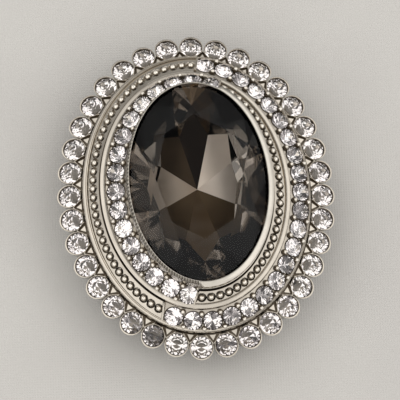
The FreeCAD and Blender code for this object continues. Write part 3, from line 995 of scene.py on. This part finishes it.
def make_webs():
    """The ribbed web in each notch between two cups and the dome."""
    skins = []
    for way in (-1, 1):
        skins.append(bar((0.5, 0), (-0.78, way * 1.0), 0.15, -0.8, 0.2))
    for reach, spread, low, high in ((0.0, 0.44, -0.8, 0.1), (0.75, 1.3, -1.3, -0.22)):
        web = [(reach, 0.0), (-0.75 - 0.2 * reach, spread), (-0.75 - 0.2 * reach, -spread)]
        skins.append([[Vector((x, y, z)) for x, y in web] for z in (low, high)])
    shape = skinned("web", skins)
    shape.data.materials.append(CASTING)
    # painted shade on the web's lower part
    add_dark(shape, [0.9 if v.co.z < 0 else 0.0 for v in shape.data.vertices])
    seats, ring = [], ring_seats()
    for (a, axis_a, out_a), (b, axis_b, out_b) in zip(ring, ring[1:] + ring[:1]):
        out = (out_a + out_b).normalized()
        lean = (axis_a + axis_b).normalized()
        seats.append(((a + b) / 2 - out * 0.82 + Vector((0, 0, 0.12)), lean, out))
    keep(placed_copies("cup_webs", shape, seats, CASTING, 30), "plated_casting")


def make_end_walls():
    """The low walls that close each beaded run against the stones."""
    skins = []
    for floor, spec, heights in (
        (OUTER_FLOOR, BEADS_OUTER, (0.66, 0.42, 0.46)),
        (INNER_FLOOR, BEADS_INNER, (0.85, 0.5, 0.5)),
    ):
        inside, middle, outside = heights
        for degrees in run_ends(floor, spec):
            across_way = channel_seat(floor, degrees, 1)[0] - channel_seat(floor, degrees, 0)[0]
            rings = []
            for share in np.linspace(0, 1, 9):
                point, normal, _ = channel_seat(floor, degrees, share)
                along = normal.cross(across_way).normalized()
                high = middle + (inside - middle) * (1 - share) ** 4 + (outside - middle) * share ** 4
                section = ((-0.16, -0.45), (0.16, -0.45), (0.15, high - 0.06), (0.08, high), (-0.08, high),
                           (-0.15, high - 0.06))
                rings.append([point + along * x + normal * z for x, z in section])
            skins.append(rings)
    walls = skinned("end_walls", skins)
    walls.data.materials.append(CASTING)
    finish_mesh(walls, 60)
    keep(walls, "plated_casting")


def make_setting():
    """The thin cup of the centre stone: a smooth collar along the beads, fine teeth elsewhere."""
    segments = SETTING_TEETH * TOOTH_STEPS
    toothed = [
        (0.0, 11.2, 0.0), (0.0, 12.2, 0.0), (0.0, 12.7, 0.0), (0.02, 12.95, 0.6), (0.0, 13.35, 1.0),
        (-0.10, 13.62, 1.0), (-0.22, LIP_TOP, 0.8), (-0.34, LIP_TOP - 0.02, 0.3),
    ]
    smooth = [(0.0, 11.2), (0.31, 12.2), (0.45, 12.7), (0.50, 13.1), (0.47, 13.42), (0.2, 13.6),
              (-0.14, LIP_TOP - 0.02), (-0.34, LIP_TOP - 0.02)]
    inside = [(-0.30, 13.5), (-0.16, 13.2), (-0.16, 12.7), (-0.62, 12.5), (-3.42, 9.2), (-3.02, 8.9)]
    toothed += [(inset, z, 0.0) for inset, z in inside]
    verts, dark = [], []
    for (inset, z, tooth), (plain_inset, plain_z) in zip(toothed, smooth + inside):
        for j in range(segments):
            degrees = 360 * j / segments
            share = beaded_share(degrees)
            wave = 0.5 - 0.5 * math.cos(2 * math.pi * j / TOOTH_STEPS)
            grow = (inset - TOOTH_DEPTH * tooth * wave) * (1 - share) + plain_inset * share
            height = z * (1 - share) + plain_z * share
            verts.append(clock_point(SETTING_WALL[0] + grow, SETTING_WALL[2] + grow, 0, height, degrees))
            # painted shade, strongest in the notches between the teeth, fading out along the smooth collar
            dark.append((0.18 + 0.62 * tooth * wave) * (1 - share))
    faces = tube_faces(len(toothed), segments, True)
    setting = new_object("serrated_setting", verts, faces, [STRIP], None, 50)
    add_dark(setting, dark)
    keep(setting, "plated_strip", "centre_setting")


def dress_findings():
    """Materials for the pin, hinge and catch, whose shapes are as drawn."""
    finishes = {
        "pin_bar": FINDINGS,
        "hinge_joint": FINDINGS,
        "hinge_rivet": RIVET,
        "pin_stem": PIN_WIRE,
        "catch_housing": FINDINGS,
        "catch_sleeve": FINDINGS,
    }
    for name, material in finishes.items():
        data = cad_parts[name].data
        if data.materials:
            data.materials[0] = material
        else:
            data.materials.append(material)


# --- floor, camera and light ----------------------------------------------------------------------------
def make_floor():
    """A plain pale cloth with a faint weave."""
    size = 900.0
    floor = new_object("floor", [(-size, -size, 0), (size, -size, 0), (size, size, 0), (-size, size, 0)],
                       [(0, 1, 2, 3)], [floor_material()])


def floor_material():
    material, tree, shader = blank_material("pale_cloth")
    place = tree.nodes.new("ShaderNodeTexCoord")
    threads = []
    for turn in (0.0, math.pi / 2):
        mapping = tree.nodes.new("ShaderNodeMapping")
        mapping.inputs["Rotation"].default_value = (0, 0, turn + 0.04)
        tree.links.new(place.outputs["Object"], mapping.inputs["Vector"])
        wave = node(tree, "ShaderNodeTexWave", Scale=850.0, Distortion=1.2, Detail=2.0)
        tree.links.new(mapping.outputs["Vector"], wave.inputs["Vector"])
        threads.append(wave)
    weave = tree.nodes.new("ShaderNodeMath")
    weave.operation = "MAXIMUM"
    tree.links.new(threads[0].outputs["Fac"], weave.inputs[0])
    tree.links.new(threads[1].outputs["Fac"], weave.inputs[1])
    effect = tree.nodes.new("ShaderNodeGroup")
    effect.node_tree = SPECKLE
    effect.inputs["First"].default_value = (0.57, 0.553, 0.525, 1)
    effect.inputs["Second"].default_value = (0.545, 0.527, 0.502, 1)
    effect.inputs["Scale"].default_value = 45.0
    bump = node(tree, "ShaderNodeBump", Strength=0.25, Distance=0.0002)
    tree.links.new(weave.outputs["Value"], bump.inputs["Height"])
    tree.links.new(bump.outputs["Normal"], shader.inputs["Normal"])
    tree.links.new(effect.outputs["Color"], shader.inputs["Base Color"])
    shader.inputs["Roughness"].default_value = 0.9
    shader.inputs["Specular IOR Level"].default_value = 0.2
    return material


def make_camera():
    right = VIEW_RIGHT.normalized()
    back = VIEW_BACK.normalized()
    up = back.cross(right).normalized()
    right = up.cross(back)
    target = Vector((0, 0, CUP_GIRDLE)) + right * VIEW_SHIFT[0] + up * VIEW_SHIFT[1]
    data = bpy.data.cameras.new("camera")
    data.sensor_width = 36.0
    data.lens = data.sensor_width * VIEW_DISTANCE / VIEW_WIDTH
    data.clip_start, data.clip_end = 0.01, 10.0
    camera = bpy.data.objects.new("camera", data)
    turn = Matrix((right, up, back)).transposed().to_4x4()
    camera.matrix_world = Matrix.Translation((target + back * VIEW_DISTANCE) * MM) @ turn
    bpy.context.scene.collection.objects.link(camera)
    bpy.context.scene.camera = camera


def area_light(name, place, size, power, colour=(1, 1, 1), aim=(0, 0, 8)):
    data = bpy.data.lights.new(name, "AREA")
    data.shape = "RECTANGLE"
    data.size, data.size_y = size[0] * MM, size[1] * MM
    data.energy = power
    data.color = colour
    light = bpy.data.objects.new(name, data)
    way = (Vector(place) - Vector(aim)).normalized()
    turn = way.to_track_quat("Z", "Y").to_matrix().to_4x4()
    light.matrix_world = Matrix.Translation(Vector(place) * MM) @ turn
    bpy.context.scene.collection.objects.link(light)


def make_lights():
    area_light("right_window", (520, 100, 470), (1100, 860), 0.95, (1.0, 0.985, 0.955))
    area_light("low_window", (-120, -640, 330), (900, 300), 0.42, (1.0, 0.985, 0.955))
    area_light("left_window", (-440, -30, 460), (800, 700), 0.55, (1.0, 0.99, 0.965))
    bpy.context.scene.world = studio_world()
    bpy.context.scene.view_settings.view_transform = "Standard"


def smooth_step(tree, value, low, high, bottom, top):
    ramp = tree.nodes.new("ShaderNodeMapRange")
    ramp.interpolation_type = "SMOOTHSTEP"
    for label, number in (("From Min", low), ("From Max", high), ("To Min", bottom), ("To Max", top)):
        ramp.inputs[label].default_value = number
    tree.links.new(value, ramp.inputs["Value"])
    return ramp.outputs["Result"]


def studio_world():
    """A pale room, dim near the floor, with dark patches overhead and beyond the brooch's top."""
    world = bpy.data.worlds.new("studio")
    world.use_nodes = True
    tree = world.node_tree
    way = tree.nodes.new("ShaderNodeTexCoord").outputs["Generated"]
    level = None
    for aim, low, high, bottom, top in (
        ((0, 0, 1), 0.10, 0.65, 0.32, 1.14),
        ((0.08, 0.30, 0.95), 0.96, 0.992, 1.0, 0.16),
        ((0.05, 0.93, 0.36), 0.80, 0.94, 1.0, 0.75),
    ):
        facing = tree.nodes.new("ShaderNodeVectorMath")
        facing.operation = "DOT_PRODUCT"
        facing.inputs[1].default_value = Vector(aim).normalized()
        tree.links.new(way, facing.inputs[0])
        part = smooth_step(tree, facing.outputs["Value"], low, high, bottom, top)
        if level is None:
            level = part
            continue
        times = tree.nodes.new("ShaderNodeMath")
        times.operation = "MULTIPLY"
        tree.links.new(level, times.inputs[0])
        tree.links.new(part, times.inputs[1])
        level = times.outputs["Value"]
    tree.links.new(level, tree.nodes["Background"].inputs["Strength"])
    tree.nodes["Background"].inputs["Color"].default_value = (1.0, 0.99, 0.975, 1)
    return world


def main():
    make_camera()
    make_lights()
    make_floor()
    make_stones()
    make_lower_frame()
    make_upper_frame()
    beaded_channel("outer_beading", OUTER_FLOOR, BEADS_OUTER, OUTER_BEADS)
    beaded_channel("inner_beading", INNER_FLOOR, BEADS_INNER, INNER_BEADS)
    make_grains()
    make_collars()
    make_webs()
    make_end_walls()
    make_setting()
    dress_findings()


main()
